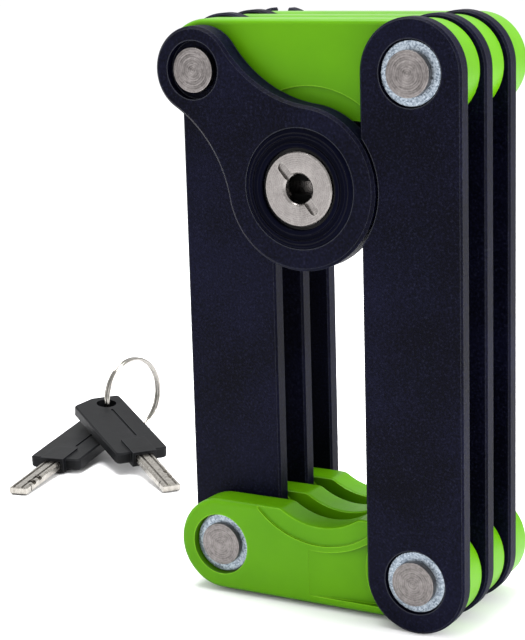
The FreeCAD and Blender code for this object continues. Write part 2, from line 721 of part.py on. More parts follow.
def make_cap_ring():
    """Make the grooved ring round the cylinder face."""
    body = new_body("cap_ring", HEAD_X, minus(COIL_FRONT, "arm_proud"), HEAD_Z)
    front = "(0 - cap_proud)"
    floor = f"({front} + groove_depth)"
    turned(body, [
        ("cap_inner_radius", front),
        ("groove_radius", front),
        ("groove_radius", floor),
        ("groove_radius + groove_width", floor),
        ("groove_radius + groove_width", front),
        ("cap_radius - groove_depth", front),
        ("cap_radius", "0"),
        ("cap_radius", "cap_depth"),
        ("cap_inner_radius", "cap_depth"),
    ])


def make_plug_seal():
    """Make the rubber ring between the cylinder face and the cap ring."""
    body = new_body("plug_seal", HEAD_X, minus(COIL_FRONT, "arm_proud"), HEAD_Z)
    inner = "(plug_radius + turning_fit)"
    outer = "(cap_inner_radius - seat_fit)"
    front = "(cap_depth - seal_depth)"
    turned(body, [(inner, front), (outer, front), (outer, "cap_depth"), (inner, "cap_depth")])


def make_plug():
    """Make the turning plug: polished face, keyway with two notches, and the disc cage."""
    body = new_body("cylinder_plug", HEAD_X, COIL_FRONT, HEAD_Z)
    turned(body, [
        ("0", PLUG_FRONT),
        ("plug_radius - plug_bevel", PLUG_FRONT),
        ("plug_radius", plus(PLUG_FRONT, "plug_bevel")),
        ("plug_radius", FLANGE_BACK),
        ("cage_radius", FLANGE_BACK),
        ("cage_radius", CAGE_BACK),
        ("0", CAGE_BACK),
    ])
    bore(body, "DiscChamber", "cage_radius - cage_wall", FLANGE_BACK, minus(CAGE_BACK, FLANGE_BACK))
    keyway = bore(body, "Keyway", "keyway_radius", PLUG_FRONT, "plug_flange")
    rim = body.newObject("PartDesign::Chamfer", "KeywayBevel")
    rim.Base = (keyway, keyway_edges(keyway.Shape))
    rim.setExpression("Size", bind("keyway_bevel"))
    doc.recompute()
    slot = new_sketch(body, "SideBarSlotSketch", FLANGE_BACK)
    half = "(side_bar_width / 2 + turning_fit)"
    add_rectangle(slot, minus("0", half), "cage_radius - 2 * cage_wall", half, "cage_radius + cage_wall")
    pocket(body, slot, STACK, "SideBarSlot")
    for number, angle in enumerate((NOTCH_ANGLE, NOTCH_ANGLE + 180.0)):
        lever = "(notch_reach - notch_width / 2)"
        side = "(notch_width / 2)"
        cosine = f"cos({angle} deg)"
        sine = f"sin({angle} deg)"
        far = (f"{lever} * {cosine}", f"{lever} * {sine}")
        notch = new_sketch(body, f"NotchSketch{number}", PLUG_FRONT)
        add_polygon(notch, [
            (f"{far[0]} - {side} * {sine}", f"{far[1]} + {side} * {cosine}"),
            (f"0 - {side} * {sine}", f"{side} * {cosine}"),
            (f"{side} * {sine}", f"0 - {side} * {cosine}"),
            (f"{far[0]} + {side} * {sine}", f"{far[1]} - {side} * {cosine}"),
        ])
        pocket(body, notch, "notch_depth", f"Notch{number}")
        bore(body, f"NotchEnd{number}", side, PLUG_FRONT, "notch_depth", far[0], far[1])


def keyway_edges(shape):
    """Name the arcs of the keyway's rim in the plug's front face."""
    front = shape.BoundBox.YMin
    radius = SIZES["keyway_radius"]
    names = []
    for number, edge in enumerate(shape.Edges, start=1):
        box = edge.BoundBox
        round_edge = hasattr(edge.Curve, "Radius") and abs(edge.Curve.Radius - radius) < 1e-6
        if round_edge and abs(box.YMax - front) < 1e-6:
            names.append(f"Edge{number}")
    return names


def make_discs():
    """Make the code discs, each with a key slot and a gate for the side bar."""
    body = new_body("code_discs", HEAD_X, plus(COIL_FRONT, plus(FLANGE_BACK, "disc_gap")), HEAD_Z)
    outline = new_sketch(body, "Outline")
    add_circle(outline, "cage_radius - cage_wall - disc_clearance")
    add_rectangle(outline, "0 - key_slot_width / 2", "0 - key_slot_height / 2",
                  "key_slot_width / 2", "key_slot_height / 2")
    disc = pad(body, outline, "disc_thickness", "Disc")
    row(body, disc, "Y_Axis", f"(disc_count - 1) * {DISC_PITCH}", DISC_COUNT, "DiscRow")
    gate = new_sketch(body, "GateSketch")
    half = "(side_bar_width / 2 + turning_fit)"
    low = "(cage_radius - side_bar_height - turning_fit)"
    add_rectangle(gate, minus("0", half), low, half, "cage_radius")
    pocket(body, gate, STACK, "Gate")


def make_spacers():
    """Make the thin washers between the code discs."""
    body = new_body("disc_spacers", HEAD_X,
                    plus(COIL_FRONT, plus(FLANGE_BACK, "disc_thickness + 2 * disc_gap")), HEAD_Z)
    outline = new_sketch(body, "Outline")
    add_circle(outline, "cage_radius - cage_wall - side_bar_height")
    add_circle(outline, "spacer_bore")
    spacer = pad(body, outline, "spacer_thickness", "Spacer")
    row(body, spacer, "Y_Axis", f"(disc_count - 1) * {DISC_PITCH}", DISC_COUNT, "SpacerRow")


def make_side_bar():
    """Make the bar that drops into the disc gates and frees the plug."""
    body = new_body("side_bar", HEAD_X, plus(COIL_FRONT, plus(FLANGE_BACK, "axial_play")), HEAD_Z)
    outline = new_sketch(body, "Outline")
    add_rectangle(outline, "0 - side_bar_width / 2", "cage_radius - side_bar_height",
                  "side_bar_width / 2", "cage_radius - turning_fit")
    pad(body, outline, f"{STACK} - 2 * axial_play", "Bar")


def make_tail_cam():
    """Make the plug's tail: a closing plate, a round neck and a cam with two flats."""
    body = new_body("tail_cam", HEAD_X, COIL_FRONT, HEAD_Z)
    plate_front = minus(CAGE_BACK, "cam_plate")
    cam_back = minus(COVER_FRONT, "2 * axial_play")
    turned(body, [
        ("0", plate_front),
        ("cage_radius - cage_wall", plate_front),
        ("cage_radius - cage_wall", CAGE_BACK),
        ("cam_radius", CAGE_BACK),
        ("cam_radius", cam_back),
        ("0", cam_back),
    ])
    flats = new_sketch(body, "FlatsSketch", CHANNEL_FRONT)
    for side in (1, -1):
        near = f"({side} * cam_half_width)"
        far = f"({side} * cam_radius * 2)"
        low, high = (near, far) if side > 0 else (far, near)
        add_rectangle(flats, low, "0 - cam_radius * 2", high, "cam_radius * 2")
    pocket(body, flats, minus(COVER_FRONT, CHANNEL_FRONT), "Flats")
    groove = new_sketch(body, "ClipGrooveSketch", minus(CHANNEL_FRONT, "clip_thickness + axial_play"))
    add_circle(groove, "cam_radius * 2")
    add_circle(groove, "clip_inner_radius")
    pocket(body, groove, "clip_thickness", "ClipGroove")


def make_clip():
    """Make the open spring clip that holds the plug in the housing."""
    start = minus(CHANNEL_FRONT, "clip_thickness + axial_play")
    body = new_body("retaining_clip", HEAD_X, plus(COIL_FRONT, start), HEAD_Z)
    outline = new_sketch(body, "Outline")
    add_circle(outline, "clip_radius")
    add_circle(outline, "clip_inner_radius")
    pad(body, outline, "clip_thickness", "Clip")
    mouth = new_sketch(body, "MouthSketch")
    add_rectangle(mouth, "0 - clip_inner_radius * 0.8", "0 - clip_radius * 2", "clip_inner_radius * 0.8", "0")
    pocket(body, mouth, "clip_thickness", "Mouth")


def make_key(number):
    """Make one key, lying from its ring down to its tip: a moulded head and a steel blade."""
    heading = math.radians(KEY_HEADINGS[number])
    height = KEY_HEIGHTS[number]
    reach = SIZES["key_head_length"] - SIZES["key_hole_inset"] + SIZES["key_blade_length"]
    slope = math.asin((height - SIZES["key_blade_thickness"] / 2) / reach)
    ring_height = SIZES["ring_radius"] + SIZES["ring_wire_radius"]
    offset = math.sqrt(SIZES["ring_radius"] ** 2 - (ring_height - height) ** 2)
    towards = math.radians(RING_HEADING)
    hole = FreeCAD.Vector(RING_PLACE[0] + offset * math.cos(towards),
                          RING_PLACE[1] + offset * math.sin(towards), height)
    flat = math.cos(slope)
    tip = FreeCAD.Vector(math.cos(heading) * flat, math.sin(heading) * flat, -math.sin(slope))
    up = FreeCAD.Vector(math.cos(heading) * math.sin(slope), math.sin(heading) * math.sin(slope), flat)
    turn = FreeCAD.Rotation(up.cross(tip), up * -1, tip * -1, "ZYX")
    place = FreeCAD.Placement(hole, turn)
    make_key_head(f"key_head_{number + 1}", place)
    make_key_blade(f"key_blade_{number + 1}", place)


KEY_MIDDLE = "(0 - key_hole_side)"
KEY_END = "(key_hole_inset - key_head_length)"
KEY_TIP = f"({KEY_END} - key_blade_length)"


def placed_body(label, place):
    """Start a body that is turned as well as moved."""
    body = doc.addObject("PartDesign::Body", label)
    body.Label = label
    body.Placement = place
    return body


def make_key_head(label, place):
    """Make a key's moulded head: slanted corner, ring hole, long line and raised boss."""
    body = placed_body(label, place)
    left = f"({KEY_MIDDLE} - key_head_width / 2)"
    right = f"({KEY_MIDDLE} + key_head_width / 2)"
    front = "(0 - key_head_thickness / 2)"
    outline = new_sketch(body, "Outline", front)
    add_polygon(outline, [
        (right, "key_hole_inset"),
        (f"{left} + key_slant_reach", "key_hole_inset"),
        (left, "key_hole_inset - key_slant_drop"),
        (left, KEY_END),
        (right, KEY_END),
    ])
    plate = pad(body, outline, "key_head_thickness", "Plate")
    corners = [f"Edge{index}" for index, edge in enumerate(plate.Shape.Edges, start=1)
               if edge.BoundBox.YMax - edge.BoundBox.YMin > 1.0]
    rounded = round_edges(body, plate, "Corners", corners, "key_head_round")
    half = SIZES["key_head_thickness"] / 2
    chamfer_faces(body, rounded, "key_head_edge", (-half, half))
    boss = new_sketch(body, "BossSketch", plus(front, "0 - key_boss_proud"))
    boss_low = f"({KEY_END} - key_boss_reach)"
    add_rectangle(boss, f"{KEY_MIDDLE} - key_boss_width / 2", boss_low,
                  f"{KEY_MIDDLE} + key_boss_width / 2", f"{boss_low} + key_boss_length")
    pad(body, boss, "key_head_thickness + 2 * key_boss_proud", "Boss")
    bore(body, "RingHole", "key_hole_radius", front, "key_head_thickness")
    line = new_sketch(body, "LineSketch", front)
    line_top = "(0 - key_hole_radius - 2 * key_line_width)"
    add_rectangle(line, "0 - key_line_width / 2", f"{line_top} - key_line_length",
                  "key_line_width / 2", line_top)
    pocket(body, line, "key_line_depth", "Line")
    socket = new_sketch(body, "SocketSketch", "(0 - key_blade_thickness / 2 - seat_fit)")
    half_width = "(key_blade_width / 2 + seat_fit)"
    add_rectangle(socket, f"{KEY_MIDDLE} - {half_width}", f"{boss_low} - 1",
                  f"{KEY_MIDDLE} + {half_width}", f"{KEY_END} + key_blade_root + seat_fit")
    pocket(body, socket, "key_blade_thickness + 2 * seat_fit", "Socket")


def make_key_blade(label, place):
    """Make a key's fluted steel blade with its cuts near the tip."""
    body = placed_body(label, place)
    front = "(0 - key_blade_thickness / 2)"
    outline = new_sketch(body, "Outline", front)
    add_rectangle(outline, f"{KEY_MIDDLE} - key_blade_width / 2", KEY_TIP,
                  f"{KEY_MIDDLE} + key_blade_width / 2", f"{KEY_END} + key_blade_root")
    bar = pad(body, outline, "key_blade_thickness", "Bar")
    half = SIZES["key_blade_thickness"] / 2
    chamfer_faces(body, bar, "key_blade_edge", (-half, half))
    for number, side in enumerate((-1, 1)):
        flute = new_sketch(body, f"FluteSketch{number}", front)
        middle = f"({KEY_MIDDLE} + {side} * key_flute_side)"
        add_rectangle(flute, f"{middle} - key_flute_width / 2", f"{KEY_TIP} - 1",
                      f"{middle} + key_flute_width / 2", KEY_END)
        pocket(body, flute, "key_flute_depth", f"Flute{number}")
    for number in range(2):
        cut = new_sketch(body, f"CutSketch{number}", front)
        low = f"({KEY_TIP} + key_cut_place - {number} * key_cut_pitch)"
        add_rectangle(cut, f"{KEY_MIDDLE} + key_flute_width", low,
                      f"{KEY_MIDDLE} + key_blade_width", f"{low} + key_cut_width")
        pocket(body, cut, "key_cut_depth", f"Cut{number}")
    waist = new_sketch(body, "WaistSketch", front)
    for side in (-1, 1):
        near = f"({KEY_MIDDLE} + {side} * (key_blade_width / 2 - key_blade_edge))"
        far = f"({KEY_MIDDLE} + {side} * key_blade_width)"
        low, high = (near, far) if side > 0 else (far, near)
        add_rectangle(waist, low, f"{KEY_TIP} + key_waist", high, f"{KEY_TIP} + key_waist + 0.8 * key_blade_edge")
    pocket(body, waist, "key_blade_thickness", "Waist")


def make_key_ring():
    """Make the split ring as two wires side by side, standing upright through both keys."""
    towards = math.radians(RING_HEADING)
    along = FreeCAD.Vector(math.cos(towards), math.sin(towards), 0)
    up = FreeCAD.Vector(0, 0, 1)
    height = SIZES["ring_radius"] + SIZES["ring_wire_radius"]
    middle = FreeCAD.Vector(RING_PLACE[0], RING_PLACE[1], height)
    body = placed_body("key_ring", FreeCAD.Placement(middle, FreeCAD.Rotation(along, up.cross(along), up, "ZYX")))
    for number, side in enumerate((-1, 1)):
        wire = body.newObject("PartDesign::AdditiveTorus", f"Wire{number}")
        wire.AttachmentSupport = (origin_feature(body, "XZ_Plane"), [""])
        wire.MapMode = "FlatFace"
        wire.setExpression("Radius1", bind("ring_radius"))
        wire.setExpression("Radius2", bind("ring_wire_radius"))
        wire.setExpression("AttachmentOffset.Base.z", bind(f"{side} * ring_wire_pitch / 2"))
        doc.recompute()


for turn_number in range(COIL_TURNS):
    make_right_bar(turn_number)
    make_left_bar(turn_number + 1)
    make_link("top", turn_number)
    make_link("bottom", turn_number)
    make_right_rivets(turn_number)
    make_bottom_rivet(turn_number)
    if turn_number > 0:
        make_left_rivet(turn_number)
make_head_rivet()
make_housing()
make_cap_ring()
make_plug_seal()
make_plug()
make_discs()
make_spacers()
make_side_bar()
make_tail_cam()
make_clip()
make_back_cover()
make_cover_screws()
for key_number in range(len(KEY_HEADINGS)):
    make_key(key_number)
make_key_ring()
doc.recompute()

os.makedirs("parts", exist_ok=True)
faults = [item.Name for item in doc.Objects if "Invalid" in item.State or "Error" in item.State]
bodies = [item for item in doc.Objects if item.TypeId == "PartDesign::Body"]
for body in bodies:
    if body.Shape.isNull() or not body.Shape.isValid() or not body.Shape.Solids:
        faults.append(body.Label)
if faults:
    raise RuntimeError("failed: " + ", ".join(faults))
for body in bodies:
    body.Shape.exportStep(f"parts/{body.Label}.step")
    print(f"{body.Label:18s} {len(body.Shape.Solids)} solid(s) {body.Shape.Volume:10.1f} mm3")
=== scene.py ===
"""Finishes, fittings and studio of a folding bike lock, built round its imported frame."""

import json
import logging
import math
from dataclasses import dataclass, field
from enum import Enum

import bmesh
import bpy
from mathutils import Matrix, Vector


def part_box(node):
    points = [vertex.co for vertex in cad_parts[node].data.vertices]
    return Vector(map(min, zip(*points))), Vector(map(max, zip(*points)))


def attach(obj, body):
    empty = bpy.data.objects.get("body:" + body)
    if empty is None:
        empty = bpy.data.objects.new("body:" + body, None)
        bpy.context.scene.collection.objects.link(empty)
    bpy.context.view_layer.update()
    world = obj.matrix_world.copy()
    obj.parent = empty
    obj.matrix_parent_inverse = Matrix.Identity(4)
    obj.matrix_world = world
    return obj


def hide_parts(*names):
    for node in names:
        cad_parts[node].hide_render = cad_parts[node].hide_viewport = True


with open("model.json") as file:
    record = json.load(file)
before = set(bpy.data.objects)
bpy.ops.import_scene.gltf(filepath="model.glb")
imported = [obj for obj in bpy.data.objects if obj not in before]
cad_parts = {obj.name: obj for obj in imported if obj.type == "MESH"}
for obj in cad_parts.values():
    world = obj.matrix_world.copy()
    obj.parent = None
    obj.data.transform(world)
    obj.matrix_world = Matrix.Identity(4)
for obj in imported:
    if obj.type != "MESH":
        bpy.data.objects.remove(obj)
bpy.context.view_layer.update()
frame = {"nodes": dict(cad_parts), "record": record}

MM = 0.001
PLACE_ATTRIBUTE = "turned_place"
SMOOTH_ANGLE = math.radians(32)
MERGE_DISTANCE = 0.0001 * MM
EDGE_SEGMENTS = 3
SHADER_SAMPLES = 6
# Ambient occlusion levels at which the painted shade in hollows starts and is full
OPEN_SURFACE, DEEP_HOLLOW = 0.95, 0.35

# Sockets of Blender's Mix node, whose names repeat for each kind of value
MIX_SHARE = 0
MIX_NUMBER_A, MIX_NUMBER_B, MIX_NUMBER = 2, 3, 0
MIX_COLOUR_A, MIX_COLOUR_B, MIX_COLOUR = 6, 7, 2

log = logging.getLogger("folding_lock")


class Slot(Enum):
    """Material slots that the record gives the lock's pieces."""

    BAR = "bar_coating"
    HEAD = "head_coating"
    COVER = "link_cover"
    CORE = "link_core"
    RIVET = "rivet"
    WASHER = "washer"
    CAP = "cap_ring"
    SEAL = "seal"
    CYLINDER = "cylinder"
    DISCS = "discs"
    SMALL_STEEL = "small_steel"
    BACK_PLATE = "back_plate"
    KEY_HEAD = "key_head"
    KEY_BLADE = "key_blade"
    KEY_RING = "key_ring"


class Coordinates(Enum):
    """Where a pattern takes its place from."""

    OBJECT = "object"
    TURNED = "turned"


class Recipe:
    """A node material under construction, round one Principled shader."""

    def __init__(self, name: str) -> None:
        """Start an empty recipe.

        Args:
            name: Name of the new material.
        """
        self.material = bpy.data.materials.new(name)
        self.material.use_nodes = True
        self.tree = self.material.node_tree
        self.shader = self.tree.nodes["Principled BSDF"]

    def add(self, kind: str, **values: object) -> bpy.types.Node:
        """Add one node and set its options and input sockets.

        Args:
            kind: Blender's class name of the node, without the ShaderNode prefix.
            values: Options by attribute name, and inputs by socket name in lower case.

        Returns:
            The new node.
        """
        node = self.tree.nodes.new(f"ShaderNode{kind}")
        sockets = {socket.name.lower().replace(" ", "_"): socket for socket in reversed(node.inputs)}
        for key, value in values.items():
            if key in sockets:
                sockets[key].default_value = value
            else:
                setattr(node, key, value)
        return node

    def join(self, source: bpy.types.NodeSocket, target: bpy.types.NodeSocket) -> None:
        """Link an output socket to an input socket."""
        self.tree.links.new(source, target)

    def set(self, **values: object) -> None:
        """Set constants on the shader's own sockets."""
        sockets = {socket.name.lower().replace(" ", "_"): socket for socket in self.shader.inputs}
        for key, value in values.items():
            sockets[key].default_value = value

    def place(self, coordinates: Coordinates, centre: tuple = (0.0, 0.0, 0.0)) -> bpy.types.NodeSocket:
        """Give the pattern coordinates, in metres.

        Args:
            coordinates: The object's own coordinates or a turned piece's attribute.
            centre: Point that the pattern is centred on, for object coordinates.

        Returns:
            The vector output socket.
        """
        if coordinates is Coordinates.TURNED:
            return self.add("Attribute", attribute_name=PLACE_ATTRIBUTE).outputs["Vector"]
        source = self.add("TexCoord").outputs["Object"]
        shift = self.add("Mapping", location=tuple(-value for value in centre))
        self.join(source, shift.inputs["Vector"])
        return shift.outputs["Vector"]

    def noise(self, place: bpy.types.NodeSocket, scale: float, detail: float = 2.0,
              roughness: float = 0.5) -> bpy.types.NodeSocket:
        """Add a noise pattern and give its value socket."""
        node = self.add("TexNoise", scale=scale, detail=detail, roughness=roughness)
        self.join(place, node.inputs["Vector"])
        return node.outputs["Fac"]

    def ramp(self, value: bpy.types.NodeSocket, stops: list[tuple[float, tuple]]) -> bpy.types.NodeSocket:
        """Turn a value into a colour.

        Args:
            value: The driving socket.
            stops: Positions from 0 to 1 with their linear RGB colours.

        Returns:
            The colour output socket.
        """
        node = self.add("ValToRGB")
        elements = node.color_ramp.elements
        while len(elements) < len(stops):
            elements.new(0.5)
        for element, (position, colour) in zip(elements, stops):
            element.position = position
            element.color = (*colour, 1.0)
        self.join(value, node.inputs["Fac"])
        return node.outputs["Color"]

    def blend(self, first: bpy.types.NodeSocket, second: bpy.types.NodeSocket,
              share: float) -> bpy.types.NodeSocket:
        """Blend two values.

        Args:
            first: Value that is used where the share is 0.
            second: Value that is used where the share is 1.
            share: Share of the second value.

        Returns:
            The blended value.
        """
        node = self.add("Mix", data_type="FLOAT")
        node.inputs[MIX_SHARE].default_value = share
        self.join(first, node.inputs[MIX_NUMBER_A])
        self.join(second, node.inputs[MIX_NUMBER_B])
        return node.outputs[MIX_NUMBER]

    def spread(self, value: bpy.types.NodeSocket, low: float, high: float) -> bpy.types.NodeSocket:
        """Map a value from 0 to 1 onto a range."""
        node = self.add("MapRange", to_min=low, to_max=high)
        self.join(value, node.inputs["Value"])
        return node.outputs["Result"]

    def stretch(self, value: bpy.types.NodeSocket, low: float, high: float) -> bpy.types.NodeSocket:
        """Stretch part of a value's range to the whole range from 0 to 1.

        Args:
            value: The value.
            low: What becomes 0.
            high: What becomes 1.

        Returns:
            The stretched value.
        """
        node = self.add("MapRange")
        self.join(value, node.inputs["Value"])
        node.inputs["From Min"].default_value = low
        node.inputs["From Max"].default_value = high
        return node.outputs["Result"]

    def edges(self, radius: float, start: float, full: float) -> bpy.types.NodeSocket:
        """Find the surface near sharp edges, for the painted highlights that stand in for the light they
        catch.

        Args:
            radius: How far from an edge the surface still counts as near it.
            start: Cosine of the rounded normal's turn at which the painted highlight starts.
            full: Cosine of the turn at which the painted highlight is full.

        Returns:
            A value that is 1 on the edges and 0 away from them.
        """
        rounded = self.add("Bevel", samples=SHADER_SAMPLES, radius=radius)
        flat = self.add("NewGeometry")
        turn = self.add("VectorMath", operation="DOT_PRODUCT")
        self.join(rounded.outputs["Normal"], turn.inputs[0])
        self.join(flat.outputs["Normal"], turn.inputs[1])
        return self.stretch(turn.outputs["Value"], start, full)

    def shade_over(self, colour: bpy.types.NodeSocket, mask: bpy.types.NodeSocket,
                   share: float, over: tuple) -> bpy.types.NodeSocket:
        """Lay a second colour over the first where a mask is high.

        Args:
            colour: The first colour.
            mask: Value that is 1 where the second colour is full.
            share: Most of the second colour that is used.
            over: The second colour.

        Returns:
            The mixed colour.
        """
        amount = self.add("Math", operation="MULTIPLY")
        self.join(mask, amount.inputs[0])
        amount.inputs[1].default_value = share
        mixed = self.add("Mix", data_type="RGBA")
        self.join(amount.outputs["Value"], mixed.inputs[MIX_SHARE])
        self.join(colour, mixed.inputs[MIX_COLOUR_A])
        mixed.inputs[MIX_COLOUR_B].default_value = (*over, 1.0)
        return mixed.outputs[MIX_COLOUR]

    def hollows(self, reach: float) -> bpy.types.NodeSocket:
        """Find hollows and inner corners, for the painted shade that darkens them.

        Args:
            reach: Size of the hollows.

        Returns:
            A value that is 1 in deep hollows and 0 on open surface.
        """
        open_share = self.add("AmbientOcclusion", samples=SHADER_SAMPLES, distance=reach)
        return self.stretch(open_share.outputs["AO"], OPEN_SURFACE, DEEP_HOLLOW)

    def raise_by(self, value: bpy.types.NodeSocket, strength: float, height: float,
                 below: bpy.types.NodeSocket | None = None) -> bpy.types.NodeSocket:
        """Add a bump from a value.

        Args:
            value: Height pattern from 0 to 1.
            strength: Share of the bump that is used.
            height: Height of the pattern in metres.
            below: Normal of an earlier bump, if there is one.

        Returns:
            The normal output socket.
        """
        node = self.add("Bump", strength=strength, distance=height)
        self.join(value, node.inputs["Height"])
        if below is not None:
            self.join(below, node.inputs["Normal"])
        return node.outputs["Normal"]


@dataclass(frozen=True)
class PowderCoat:
    """Fine-grained matte powder coating over steel."""

    name: str
    dark: tuple
    light: tuple
    grain_scale: float = 2000.0
    grain_height: float = 0.12 * MM
    grain_share: float = 0.6
    drift_scale: float = 45.0
    roughness: tuple = (0.42, 0.62)
    # Painted highlight along the edges: its reach, lighter colour and share; the specks use the same colour
    edge_radius: float = 0.5 * MM
    edge_colour: tuple = (0.060, 0.064, 0.075)
    edge_share: float = 0.8
    sparkle_share: float = 0.07

    def build(self) -> bpy.types.Material:
        """Make the material: speckled grain, slow colour drift, painted highlights along the edges and a
        soft gloss.
        """
        recipe = Recipe(self.name)
        place = recipe.place(Coordinates.OBJECT)
        grain = recipe.noise(place, self.grain_scale, 3.0, 0.6)
        drift = recipe.noise(place, self.drift_scale, 3.0)
        mottled = recipe.blend(drift, grain, self.grain_share)
        shade = recipe.ramp(mottled, [(0.42, self.dark), (0.64, self.light)])
        sparkle = recipe.stretch(grain, 0.58, 0.70)
        shade = recipe.shade_over(shade, sparkle, self.sparkle_share, self.edge_colour)
        # Painted highlight: sharp edges laid over with the lighter edge colour where they would catch the
        # light
        edge_highlight = recipe.edges(self.edge_radius, 0.96, 0.76)
        shade = recipe.shade_over(shade, edge_highlight, self.edge_share, self.edge_colour)
        recipe.join(shade, recipe.shader.inputs["Base Color"])
        recipe.join(recipe.spread(grain, *self.roughness), recipe.shader.inputs["Roughness"])
        normal = recipe.raise_by(grain, 0.55, self.grain_height)
        recipe.join(normal, recipe.shader.inputs["Normal"])
        recipe.set(specular_ior_level=0.05)
        return recipe.material


@dataclass(frozen=True)
class MouldedPlastic:
    """Coloured plastic from a finely spark-eroded mould."""

    name: str
    deep: tuple
    bright: tuple
    roughness: tuple = (0.30, 0.44)
    texture_height: float = 0.02 * MM
    texture_scale: float = 1500.0
    specular: float = 0.5
    scatter: float = 0.0
    # Painted highlight along the edges: its reach, lighter colour and share
    edge_radius: float = 0.5 * MM
    edge_colour: tuple = (0.03, 0.03, 0.035)
    edge_share: float = 0.6
    # Painted shade in hollows: its reach, darker colour and share
    hollow_reach: float = 2.5 * MM
    hollow_shade_colour: tuple = (0.001, 0.001, 0.001)
    hollow_shade_share: float = 0.5

    def build(self) -> bpy.types.Material:
        """Make the material: flow marks in the colour, painted shade in hollows, painted highlights on
        edges, fine texture and scuffs in the gloss.
        """
        recipe = Recipe(self.name)
        place = recipe.place(Coordinates.OBJECT)
        flow = recipe.noise(place, 38.0, 4.0, 0.55)
        shade = recipe.ramp(flow, [(0.30, self.deep), (0.70, self.bright)])
        # Painted shade: hollows and inner corners darkened towards the hollow shade colour
        hollows = recipe.hollows(self.hollow_reach)
        shade = recipe.shade_over(shade, hollows, self.hollow_shade_share, self.hollow_shade_colour)
        # Painted highlight: sharp edges laid over with the lighter edge colour
        edges = recipe.edges(self.edge_radius, 0.965, 0.80)
        shade = recipe.shade_over(shade, edges, self.edge_share, self.edge_colour)
        recipe.join(shade, recipe.shader.inputs["Base Color"])
        scuffs = recipe.noise(place, 260.0, 6.0, 0.7)
        recipe.join(recipe.spread(scuffs, *self.roughness), recipe.shader.inputs["Roughness"])
        texture = recipe.noise(place, self.texture_scale, 2.0)
        waves = recipe.raise_by(flow, 0.12, 0.4 * MM)
        normal = recipe.raise_by(texture, 0.5, self.texture_height, waves)
        recipe.join(normal, recipe.shader.inputs["Normal"])
        recipe.set(specular_ior_level=self.specular, subsurface_weight=self.scatter,
                   subsurface_scale=2.0 * MM)
        return recipe.material


@dataclass(frozen=True)
class TurnedMetal:
    """Plated metal with the rings that turning or forming leaves on it."""

    name: str
    dark: tuple
    light: tuple
    roughness: tuple = (0.22, 0.42)
    ring_scale: float = 650.0
    ring_height: float = 0.04 * MM
    ring_share: float = 0.10
    wobble: float = 2.6
    coordinates: Coordinates = Coordinates.TURNED
    centre: tuple = (0.0, 0.0, 0.0)
    stain_scale: float = 900.0
    pit_scale: float = 2400.0
    pit_height: float = 0.03 * MM
    hollow_reach: float = 1.2 * MM
    # Dark colour of the pits, and of the painted shade in hollows
    pit_and_shade_colour: tuple = (0.03, 0.027, 0.024)
    # Reach and lighter colour of the painted highlights along the edges
    edge_radius: float = 0.25 * MM
    edge_highlight_colour: tuple = (0.50, 0.48, 0.45)

    def build(self) -> bpy.types.Material:
        """Make the material: wobbling rings, stains in the plating, small dark pits, painted shade in
        hollows and painted highlights on edges.
        """
        recipe = Recipe(self.name)
        place = recipe.place(self.coordinates, self.centre)
        rings = recipe.add("TexWave", wave_type="RINGS", rings_direction="Y", scale=self.ring_scale,
                           distortion=self.wobble, detail=3.0, detail_scale=1.2)
        recipe.join(place, rings.inputs["Vector"])
        stain = recipe.noise(place, self.stain_scale, 5.0, 0.65)
        ringed = recipe.blend(stain, rings.outputs["Fac"], self.ring_share)
        shade = recipe.ramp(ringed, [(0.30, self.dark), (0.64, self.light)])
        pits = recipe.noise(place, self.pit_scale, 2.0)
        shade = recipe.shade_over(shade, recipe.stretch(pits, 0.27, 0.20), 0.85, self.pit_and_shade_colour)
        # Painted shade: hollows and inner corners darkened towards the pits' dark colour
        shade = recipe.shade_over(shade, recipe.hollows(self.hollow_reach), 0.45, self.pit_and_shade_colour)
        # Painted highlight: sharp edges laid over with the lighter edge colour
        shade = recipe.shade_over(shade, recipe.edges(self.edge_radius, 0.98, 0.85), 0.7, self.edge_highlight_colour)
        recipe.join(shade, recipe.shader.inputs["Base Color"])
        recipe.join(recipe.spread(stain, *self.roughness), recipe.shader.inputs["Roughness"])
        formed = recipe.raise_by(rings.outputs["Fac"], 0.6, self.ring_height)
        normal = recipe.raise_by(pits, 0.35, self.pit_height, formed)
        recipe.join(normal, recipe.shader.inputs["Normal"])
        recipe.set(metallic=1.0)
        return recipe.material


@dataclass(frozen=True)
class ZincPlate:
    """Bluish galvanised steel with crystals of different brightness."""

    name: str
    dark: tuple = (0.12, 0.15, 0.19)
    light: tuple = (0.44, 0.50, 0.56)
    crystal_scale: float = 3000.0
    crystal_height: float = 0.05 * MM
    cloud_scale: float = 2200.0

    def build(self) -> bpy.types.Material:
        """Make the material: crystal cells, cloudy patches and a rough sparkle."""
        recipe = Recipe(self.name)
        place = recipe.place(Coordinates.OBJECT)
        cells = recipe.add("TexVoronoi", scale=self.crystal_scale, randomness=1.0)
        recipe.join(place, cells.inputs["Vector"])
        cloud = recipe.noise(place, self.cloud_scale, 6.0, 0.75)
        brightness = recipe.add("SeparateColor")
        recipe.join(cells.outputs["Color"], brightness.inputs["Color"])
        crystals = recipe.blend(brightness.outputs["Red"], cloud, 0.5)
        shade = recipe.ramp(crystals, [(0.25, self.dark), (0.75, self.light)])
        recipe.join(shade, recipe.shader.inputs["Base Color"])
        recipe.join(recipe.spread(crystals, 0.30, 0.62), recipe.shader.inputs["Roughness"])
        normal = recipe.raise_by(crystals, 0.5, self.crystal_height)
        recipe.join(normal, recipe.shader.inputs["Normal"])
        recipe.set(metallic=0.85)
        return recipe.material


